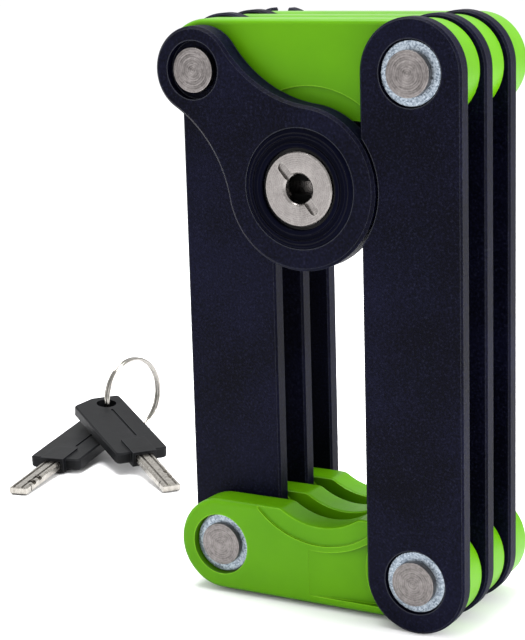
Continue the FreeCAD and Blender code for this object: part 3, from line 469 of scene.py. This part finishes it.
class Palette:
    """Every finish of the lock, built once."""

    def __init__(self, head_centre: Vector) -> None:
        """Build the materials.

        Args:
            head_centre: Middle of the cylinder face, which its turning rings are centred on.
        """
        centre = tuple(head_centre)
        navy = {"dark": (0.0002, 0.0003, 0.0028), "light": (0.0036, 0.0040, 0.0155)}
        rolled = {"ring_height": 0.01 * MM, "coordinates": Coordinates.OBJECT}
        finishes = {
            Slot.BAR: PowderCoat("bar powder coat", **navy),
            Slot.HEAD: PowderCoat("head powder coat", **navy, grain_scale=1700.0),
            Slot.BACK_PLATE: PowderCoat("back plate powder coat", **navy, grain_scale=2200.0),
            # Lime covers: lighter green edges are painted highlights, darker green hollows are painted
            # shade
            Slot.COVER: MouldedPlastic(
                "lime cover plastic", (0.066, 0.216, 0.0002), (0.088, 0.268, 0.0004), specular=0.10,
                scatter=0.02, edge_colour=(0.22, 0.50, 0.02), edge_share=0.75,
                hollow_shade_colour=(0.030, 0.110, 0.0004), hollow_shade_share=0.6),
            # Key heads, seal and cap ring keep the default lighter edges as painted highlights and black
            # hollows as painted shade
            Slot.KEY_HEAD: MouldedPlastic(
                "black key plastic", (0.0016, 0.0018, 0.0024), (0.0036, 0.0040, 0.0050),
                roughness=(0.42, 0.56), texture_height=0.05 * MM, texture_scale=2200.0, specular=0.12),
            Slot.SEAL: MouldedPlastic(
                "black seal rubber", (0.003, 0.003, 0.003), (0.006, 0.006, 0.006),
                roughness=(0.6, 0.8), specular=0.25),
            Slot.CAP: MouldedPlastic(
                "black cap ring lacquer", (0.0002, 0.0003, 0.0022), (0.0012, 0.0016, 0.0080),
                roughness=(0.22, 0.34), texture_height=0.01 * MM, specular=0.02),
            Slot.RIVET: TurnedMetal("nickel rivet", (0.095, 0.086, 0.083), (0.205, 0.188, 0.184)),
            Slot.CYLINDER: TurnedMetal(
                "satin nickel cylinder", (0.20, 0.185, 0.178), (0.27, 0.252, 0.243), roughness=(0.20, 0.34),
                ring_scale=700.0, ring_share=0.15, wobble=0.6, centre=centre, **rolled),
            Slot.KEY_BLADE: TurnedMetal(
                "nickel key blade", (0.24, 0.225, 0.20), (0.40, 0.38, 0.345), roughness=(0.18, 0.34),
                ring_scale=300.0, wobble=2.0, **rolled),
            Slot.KEY_RING: TurnedMetal(
                "polished key ring", (0.22, 0.21, 0.195), (0.34, 0.325, 0.30), roughness=(0.08, 0.2),
                ring_scale=300.0, ring_height=0.005 * MM, wobble=1.0, coordinates=Coordinates.OBJECT),
            Slot.CORE: TurnedMetal(
                "rolled core steel", (0.22, 0.22, 0.23), (0.34, 0.34, 0.35), roughness=(0.35, 0.5),
                ring_scale=200.0, wobble=4.0, **rolled),
            # Discs painted nearly black as the shade deep in the keyway, with a faint painted edge
            # highlight
            Slot.DISCS: TurnedMetal(
                "disc steel painted dark as keyway shade", (0.0015, 0.0015, 0.0015), (0.004, 0.004, 0.004),
                roughness=(0.45, 0.6), ring_scale=500.0, wobble=1.0, centre=centre,
                pit_and_shade_colour=(0.0005, 0.0005, 0.0005), edge_highlight_colour=(0.006, 0.006, 0.006), **rolled),
            Slot.SMALL_STEEL: TurnedMetal(
                "turned small steel", (0.32, 0.32, 0.34), (0.46, 0.46, 0.48), roughness=(0.25, 0.4),
                ring_scale=600.0, wobble=1.0, **rolled),
            Slot.WASHER: ZincPlate("galvanised washer"),
        }
        self.materials = {slot: finish.build() for slot, finish in finishes.items()}

    def dress(self, piece: bpy.types.Object, slot: Slot) -> None:
        """Give a piece one finish in all its material slots."""
        piece.data.materials.clear()
        piece.data.materials.append(self.materials[slot])


def face_centre(node: str) -> Vector:
    """Give the middle of a node's front face."""
    low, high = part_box(node)
    return Vector(((low.x + high.x) / 2, low.y, (low.z + high.z) / 2))


def body_of_node(node: str) -> str:
    """Name the body that a frame node rides on."""
    bodies = frame["record"]["behaviour"]["bodies"]
    return next(body for body, members in bodies.items() if node in members)


def slot_of_node(node: str) -> Slot:
    """Find the slot that the record gives a frame node."""
    subparts = frame["record"]["subparts"]
    return Slot(next(part["material_slot"] for part in subparts if part["node"] == node))


def finish_mesh(name: str, shape: bmesh.types.BMesh) -> bpy.types.Object:
    """Turn a bmesh into an object at the origin, with smooth faces and crisp edges.

    Args:
        name: Name of the piece.
        shape: The bmesh, in metres in the frame's own coordinates. It is freed.

    Returns:
        The new object.
    """
    mesh = bpy.data.meshes.new(name)
    shape.to_mesh(mesh)
    shape.free()
    mesh.shade_smooth()
    mesh.set_sharp_from_angle(angle=SMOOTH_ANGLE)
    piece = bpy.data.objects.new(name, mesh)
    bpy.context.scene.collection.objects.link(piece)
    return piece


def turn_profile(shape: bmesh.types.BMesh, profile: list[tuple[float, float]], steps: int,
                 edge: float) -> None:
    """Turn a profile about the Y axis and soften its edges.

    Args:
        shape: The bmesh to add the turned form to.
        profile: Corners as (radius, depth) in metres, open on the axis or closed round a hole.
        steps: Faces round the turn.
        edge: Width of the softened edges in metres.
    """
    corners = [shape.verts.new((radius, depth, 0.0)) for radius, depth in profile]
    leaves_a_hole = profile[0][0] > 0.0
    ends = corners[1:] + (corners[:1] if leaves_a_hole else [])
    lines = [shape.edges.new(pair) for pair in zip(corners, ends)]
    bmesh.ops.spin(shape, geom=corners + lines, cent=(0, 0, 0), axis=(0, 1, 0), dvec=(0, 0, 0),
                   angle=2 * math.pi, steps=steps, use_merge=True, use_duplicate=False)
    bmesh.ops.remove_doubles(shape, verts=shape.verts[:], dist=MERGE_DISTANCE)
    bmesh.ops.recalc_face_normals(shape, faces=shape.faces[:])
    sharp = [line for line in shape.edges
             if len(line.link_faces) == 2 and line.calc_face_angle() > SMOOTH_ANGLE]
    bmesh.ops.bevel(shape, geom=sharp, offset=edge, segments=EDGE_SEGMENTS, profile=0.5, affect="EDGES",
                    material=-1, clamp_overlap=True)


def mark_places(piece: bpy.types.Object, centres: list[Vector]) -> None:
    """Store each point's place about its nearest turning centre, for ring patterns.

    Args:
        piece: The turned piece.
        centres: Turning centres in the frame's coordinates.
    """
    attribute = piece.data.attributes.new(PLACE_ATTRIBUTE, "FLOAT_VECTOR", "POINT")
    for vertex in piece.data.vertices:
        centre = min(centres, key=lambda middle: (vertex.co - middle).length)
        attribute.data[vertex.index].vector = vertex.co - centre


def turned_piece(name: str, profile: list[tuple[float, float]], centres: list[Vector],
                 edge: float, steps: int = 72) -> bpy.types.Object:
    """Make one piece of one or more equal turned forms.

    Args:
        name: Name of the piece.
        profile: Corners as (radius, depth) in metres, depth 0 at the centres.
        centres: Places of the turned forms.
        edge: Width of the softened edges in metres.
        steps: Faces round each turn.

    Returns:
        The new object, with its ring places stored.
    """
    whole = bmesh.new()
    for centre in centres:
        single = bmesh.new()
        turn_profile(single, profile, steps, edge)
        bmesh.ops.translate(single, verts=single.verts[:], vec=centre)
        carrier = bpy.data.meshes.new("carrier")
        single.to_mesh(carrier)
        single.free()
        whole.from_mesh(carrier)
        bpy.data.meshes.remove(carrier)
    piece = finish_mesh(name, whole)
    mark_places(piece, centres)
    return piece


def take_over(piece: bpy.types.Object, node: str, palette: Palette) -> None:
    """Let a detailed piece stand for a frame node: its body, slot, finish and place.

    Args:
        piece: The detailed piece.
        node: Name of the frame node.
        palette: The lock's finishes.
    """
    slot = slot_of_node(node)
    palette.dress(piece, slot)
    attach(piece, body_of_node(node))
    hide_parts(node)
    log.info("%s stands for %s on %s", piece.name, node, body_of_node(node))


@dataclass
class Rivets:
    """Orbitally formed rivets with ringed faces, and the plain washers under them."""

    head_radius: float = 4.75 * MM
    shank_radius: float = 3.0 * MM
    tail_radius: float = 4.4 * MM
    tail_thickness: float = 1.1 * MM
    tail_bevel_depth: float = 0.2 * MM
    tail_bevel_width: float = 0.3 * MM
    rim_width: float = 0.55 * MM
    rim_drop: float = 0.12 * MM
    dish: float = 0.10 * MM
    ring_radii: tuple = (1.1 * MM, 2.3 * MM, 3.4 * MM)
    ring_half_width: float = 0.22 * MM
    ring_depth: float = 0.07 * MM
    edge: float = 0.08 * MM
    washer_hole: float = 3.05 * MM
    washer_radius: float = 6.6 * MM
    washer_edge: float = 0.15 * MM
    head_heights: dict = field(default_factory=lambda: {
        "right_rivets_1": 1.8 * MM, "head_rivet": 2.0 * MM, "bottom": 1.4 * MM, "other": 0.6 * MM})

    def centres(self, node: str, radius: float) -> list[Vector]:
        """Find the axes of the forms in a node, at the node's front face.

        Args:
            node: Name of the rivet or washer node.
            radius: Outer radius of the form.

        Returns:
            One point for each form, upper last.
        """
        low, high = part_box(node)
        middle = (low.x + high.x) / 2
        levels = [low.z + radius]
        if high.z - low.z > 3 * radius:
            levels.append(high.z - radius)
        return [Vector((middle, low.y, level)) for level in levels]

    def head_height(self, node: str) -> float:
        """Give the height of a rivet's head above its washer."""
        if node in self.head_heights:
            return self.head_heights[node]
        return self.head_heights["bottom" if node.startswith("bottom") else "other"]

    def ringed_face(self) -> list[tuple[float, float]]:
        """Give the face profile from the axis to the rim: a shallow dish with three rings."""
        face = [(0.0, self.dish)]
        for radius in self.ring_radii:
            level = self.dish * (1 - (radius / self.head_radius) ** 2)
            face.append((radius - self.ring_half_width, level))
            face.append((radius, level + self.ring_depth))
            face.append((radius + self.ring_half_width, level))
        face.append((self.head_radius - self.rim_width, 0.0))
        return face

    def rivet_profile(self, node: str) -> list[tuple[float, float]]:
        """Give a rivet's whole profile, from the face on the axis to the tail on the axis."""
        low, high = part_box(node)
        length = high.y - low.y
        head = self.head_height(node)
        tail = [(radius, length - depth) for radius, depth in self.ringed_face()
                if radius < self.tail_radius - self.rim_width]
        return self.ringed_face() + [
            (self.head_radius, self.rim_drop),
            (self.head_radius, head),
            (self.shank_radius, head),
            (self.shank_radius, length - self.tail_thickness),
            (self.tail_radius, length - self.tail_thickness),
            (self.tail_radius, length - self.tail_bevel_depth),
            (self.tail_radius - self.tail_bevel_width, length),
        ] + tail[::-1]

    def washer_profile(self, node: str) -> list[tuple[float, float]]:
        """Give the closed profile of a washer."""
        low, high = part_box(node)
        thickness = high.y - low.y
        return [(self.washer_hole, 0.0), (self.washer_radius, 0.0),
                (self.washer_radius, thickness), (self.washer_hole, thickness)]

    def build(self, palette: Palette) -> None:
        """Make every rivet and washer of the chain and the arm.

        Args:
            palette: The lock's finishes.
        """
        for node in sorted(frame["nodes"]):
            if "rivet" in node:
                centres = self.centres(node, self.head_radius)
                piece = turned_piece(f"{node}_formed", self.rivet_profile(node), centres, edge=self.edge)
                take_over(piece, node, palette)
            elif "washer" in node:
                centres = self.centres(node, self.washer_radius)
                piece = turned_piece(f"{node}_punched", self.washer_profile(node), centres,
                                     edge=self.washer_edge)
                take_over(piece, node, palette)


@dataclass
class LockHead:
    """The fine rings round the cylinder face."""

    inner_radius: float = 8.6 * MM
    outer_radius: float = 12.6 * MM
    seat_depth: float = 2.1 * MM
    bead_bevel: float = 0.25 * MM
    groove_floor: float = 0.45 * MM
    groove_start: float = 9.75 * MM
    groove_end: float = 10.75 * MM
    groove_slope: float = 0.1 * MM
    land_depth: float = 0.05 * MM
    fine_groove: float = 11.6 * MM
    fine_width: float = 0.15 * MM
    fine_depth: float = 0.22 * MM
    rim_depth: float = 0.08 * MM
    rim_bevel: float = 0.5 * MM
    edge: float = 0.06 * MM
    steps: int = 128

    def cap_profile(self) -> list[tuple[float, float]]:
        """Give the ring's profile: inner bead, wide groove, flat land, fine groove and bevel."""
        return [
            (self.inner_radius, self.bead_bevel),
            (self.inner_radius + self.bead_bevel, 0.0),
            (self.groove_start - self.groove_slope, 0.0),
            (self.groove_start, self.groove_floor),
            (self.groove_end, self.groove_floor),
            (self.groove_end + self.groove_slope, self.land_depth),
            (self.fine_groove - self.fine_width, self.land_depth),
            (self.fine_groove, self.fine_depth),
            (self.fine_groove + self.fine_width, self.rim_depth),
            (self.outer_radius - self.rim_bevel, self.rim_depth),
            (self.outer_radius, self.rim_bevel),
            (self.outer_radius, self.seat_depth),
            (self.inner_radius, self.seat_depth),
        ]

    def build(self, palette: Palette) -> None:
        """Make the ring round the cylinder face.

        Args:
            palette: The lock's finishes.
        """
        piece = turned_piece("cap_ring_turned", self.cap_profile(), [face_centre("cap_ring")],
                             steps=self.steps, edge=self.edge)
        take_over(piece, "cap_ring", palette)


@dataclass
class CylinderFace:
    """The plug with polished edges round its rim, keyway and notches."""

    merge_distance: float = 0.002 * MM
    edge_width: float = 0.26 * MM
    edge_angle: float = math.radians(40)
    edge_segments: int = 2
    flat_angle: float = math.radians(1)

    def build(self, palette: Palette) -> None:
        """Copy the plug, merge its loose triangles and break its sharp edges.

        Args:
            palette: The lock's finishes.
        """
        shape = bmesh.new()
        shape.from_mesh(frame["nodes"]["cylinder_plug"].data)
        bmesh.ops.remove_doubles(shape, verts=shape.verts[:], dist=self.merge_distance)
        bmesh.ops.dissolve_limit(shape, angle_limit=self.flat_angle, verts=shape.verts[:],
                                 edges=shape.edges[:])
        piece = finish_mesh("cylinder_plug_polished", shape)
        bevel = piece.modifiers.new("polished edges", "BEVEL")
        bevel.width = self.edge_width
        bevel.segments = self.edge_segments
        bevel.limit_method = "ANGLE"
        bevel.angle_limit = self.edge_angle
        take_over(piece, "cylinder_plug", palette)


@dataclass
class KeyRing:
    """A split ring of two turns of wire with its open ends."""

    heading: float = math.radians(-100.0)
    ring_radius: float = 11.0 * MM
    wire_radius: float = 0.5 * MM
    wire_pitch: float = 0.96 * MM
    turns: float = 1.96
    steps: int = 150
    wire_sides: int = 14

    def wind(self) -> bmesh.types.BMesh:
        """Wind the wire about the vertical axis, centred on the origin."""
        shape = bmesh.new()
        section = bmesh.ops.create_circle(shape, cap_ends=True, segments=self.wire_sides,
                                          radius=self.wire_radius)["verts"]
        bmesh.ops.translate(shape, verts=section, vec=(self.ring_radius, 0, 0))
        bmesh.ops.rotate(shape, verts=section, cent=(self.ring_radius, 0, 0),
                         matrix=Matrix.Rotation(math.pi / 2, 3, "X"))
        height = self.wire_pitch * self.turns
        bmesh.ops.spin(shape, geom=shape.verts[:] + shape.edges[:] + shape.faces[:], cent=(0, 0, 0),
                       axis=(0, 0, 1), dvec=(0, 0, height / self.steps), angle=2 * math.pi * self.turns,
                       steps=self.steps, use_merge=False, use_duplicate=False)
        bmesh.ops.recalc_face_normals(shape, faces=shape.faces[:])
        bmesh.ops.translate(shape, verts=shape.verts[:], vec=(0, 0, -height / 2))
        return shape

    def build(self, palette: Palette) -> None:
        """Wind the ring and stand it upright in its place.

        Args:
            palette: The lock's finishes.
        """
        low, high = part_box("key_ring")
        shape = self.wind()
        along = Vector((math.cos(self.heading), math.sin(self.heading), 0))
        up = Vector((0, 0, 1))
        stand = Matrix((along, up, along.cross(up))).transposed()
        bmesh.ops.rotate(shape, verts=shape.verts[:], cent=(0, 0, 0), matrix=stand)
        bmesh.ops.translate(shape, verts=shape.verts[:], vec=(low + high) / 2)
        take_over(finish_mesh("key_ring_wound", shape), "key_ring", palette)


@dataclass
class CarriedNodes:
    """Frame nodes whose own shape is right and which only need their finish."""

    def build(self, palette: Palette) -> None:
        """Dress every frame node in the finish of its slot.

        Args:
            palette: The lock's finishes.
        """
        for node, piece in sorted(frame["nodes"].items()):
            slot = slot_of_node(node)
            palette.dress(piece, slot)
            log.info("%s is finished as %s", node, slot.value)


@dataclass(frozen=True)
class SoftLight:
    """A square softbox aimed at a point."""

    name: str
    place: tuple
    target: tuple
    size: float
    power: float

    def build(self) -> None:
        """Hang the light."""
        data = bpy.data.lights.new(self.name, "AREA")
        data.shape = "SQUARE"
        data.size = self.size
        data.energy = self.power
        lamp = bpy.data.objects.new(self.name, data)
        lamp.location = self.place
        aim = Vector(self.target) - Vector(self.place)
        lamp.rotation_mode = "QUATERNION"
        lamp.rotation_quaternion = aim.to_track_quat("-Z", "Y")
        bpy.context.scene.collection.objects.link(lamp)


@dataclass
class Studio:
    """Pale floor, soft lights and the camera."""

    camera_place: tuple = (0.188, -0.3578, 0.1478)
    camera_yaw: float = math.radians(30.4)
    camera_pitch: float = math.radians(12.0)
    camera_roll: float = math.radians(1.6)
    camera_lens: float = 106.0
    sensor_width: float = 36.0
    clip_range: tuple = (0.01, 50.0)
    floor_half: float = 6.0
    floor_colour: tuple = (0.93, 0.93, 0.94)
    fibre_scale: float = 900.0
    fibre_height: float = 0.02 * MM
    sky_colour: tuple = (1.0, 1.0, 1.0)
    sky_strength: float = 1.08
    lights: tuple = (
        SoftLight("top softbox", (-0.15, 0.10, 0.90), (0.0, 0.0, 0.08), 0.45, 12.0),
        SoftLight("right softbox", (0.80, 0.15, 0.30), (0.0, 0.0, 0.06), 0.4, 9.0),
        SoftLight("front softbox", (-0.35, -0.95, 0.45), (0.0, 0.0, 0.06), 0.5, 1.5),
    )

    def build_floor(self) -> None:
        """Lay the plain pale floor."""
        shape = bmesh.new()
        bmesh.ops.create_grid(shape, x_segments=1, y_segments=1, size=self.floor_half)
        floor = finish_mesh("floor", shape)
        recipe = Recipe("floor paper")
        place = recipe.place(Coordinates.OBJECT)
        fibres = recipe.noise(place, self.fibre_scale, 2.0)
        normal = recipe.raise_by(fibres, 0.1, self.fibre_height)
        recipe.join(normal, recipe.shader.inputs["Normal"])
        recipe.set(base_color=(*self.floor_colour, 1.0), roughness=0.75, specular_ior_level=0.2)
        floor.data.materials.append(recipe.material)

    def build_sky(self) -> None:
        """Light the room with an even pale sky."""
        world = bpy.data.worlds.new("studio")
        world.use_nodes = True
        background = world.node_tree.nodes["Background"]
        background.inputs["Color"].default_value = (*self.sky_colour, 1.0)
        background.inputs["Strength"].default_value = self.sky_strength
        bpy.context.scene.world = world

    def build_camera(self) -> None:
        """Stand the camera to the right of the lock, a little above its middle."""
        data = bpy.data.cameras.new("camera")
        data.sensor_width = self.sensor_width
        data.lens = self.camera_lens
        data.clip_start, data.clip_end = self.clip_range
        flat = math.cos(self.camera_pitch)
        forward = Vector((-math.sin(self.camera_yaw) * flat, math.cos(self.camera_yaw) * flat,
                          -math.sin(self.camera_pitch)))
        camera = bpy.data.objects.new("camera", data)
        camera.location = self.camera_place
        camera.rotation_mode = "QUATERNION"
        level = forward.to_track_quat("-Z", "Y")
        roll = Matrix.Rotation(self.camera_roll, 3, forward).to_quaternion()
        camera.rotation_quaternion = roll @ level
        bpy.context.scene.collection.objects.link(camera)
        bpy.context.scene.camera = camera

    def build(self) -> None:
        """Set up the whole studio, shown with plain colours."""
        bpy.context.scene.view_settings.view_transform = "Standard"
        self.build_floor()
        self.build_sky()
        self.build_camera()
        for light in self.lights:
            light.build()


def main() -> None:
    """Build the finishes, the detailed pieces and the studio in order."""
    logging.basicConfig(level=logging.INFO, format="%(message)s")
    palette = Palette(face_centre("cylinder_plug"))
    CarriedNodes().build(palette)
    Rivets().build(palette)
    LockHead().build(palette)
    CylinderFace().build(palette)
    KeyRing().build(palette)
    Studio().build()


if __name__ == "__main__":
    main()
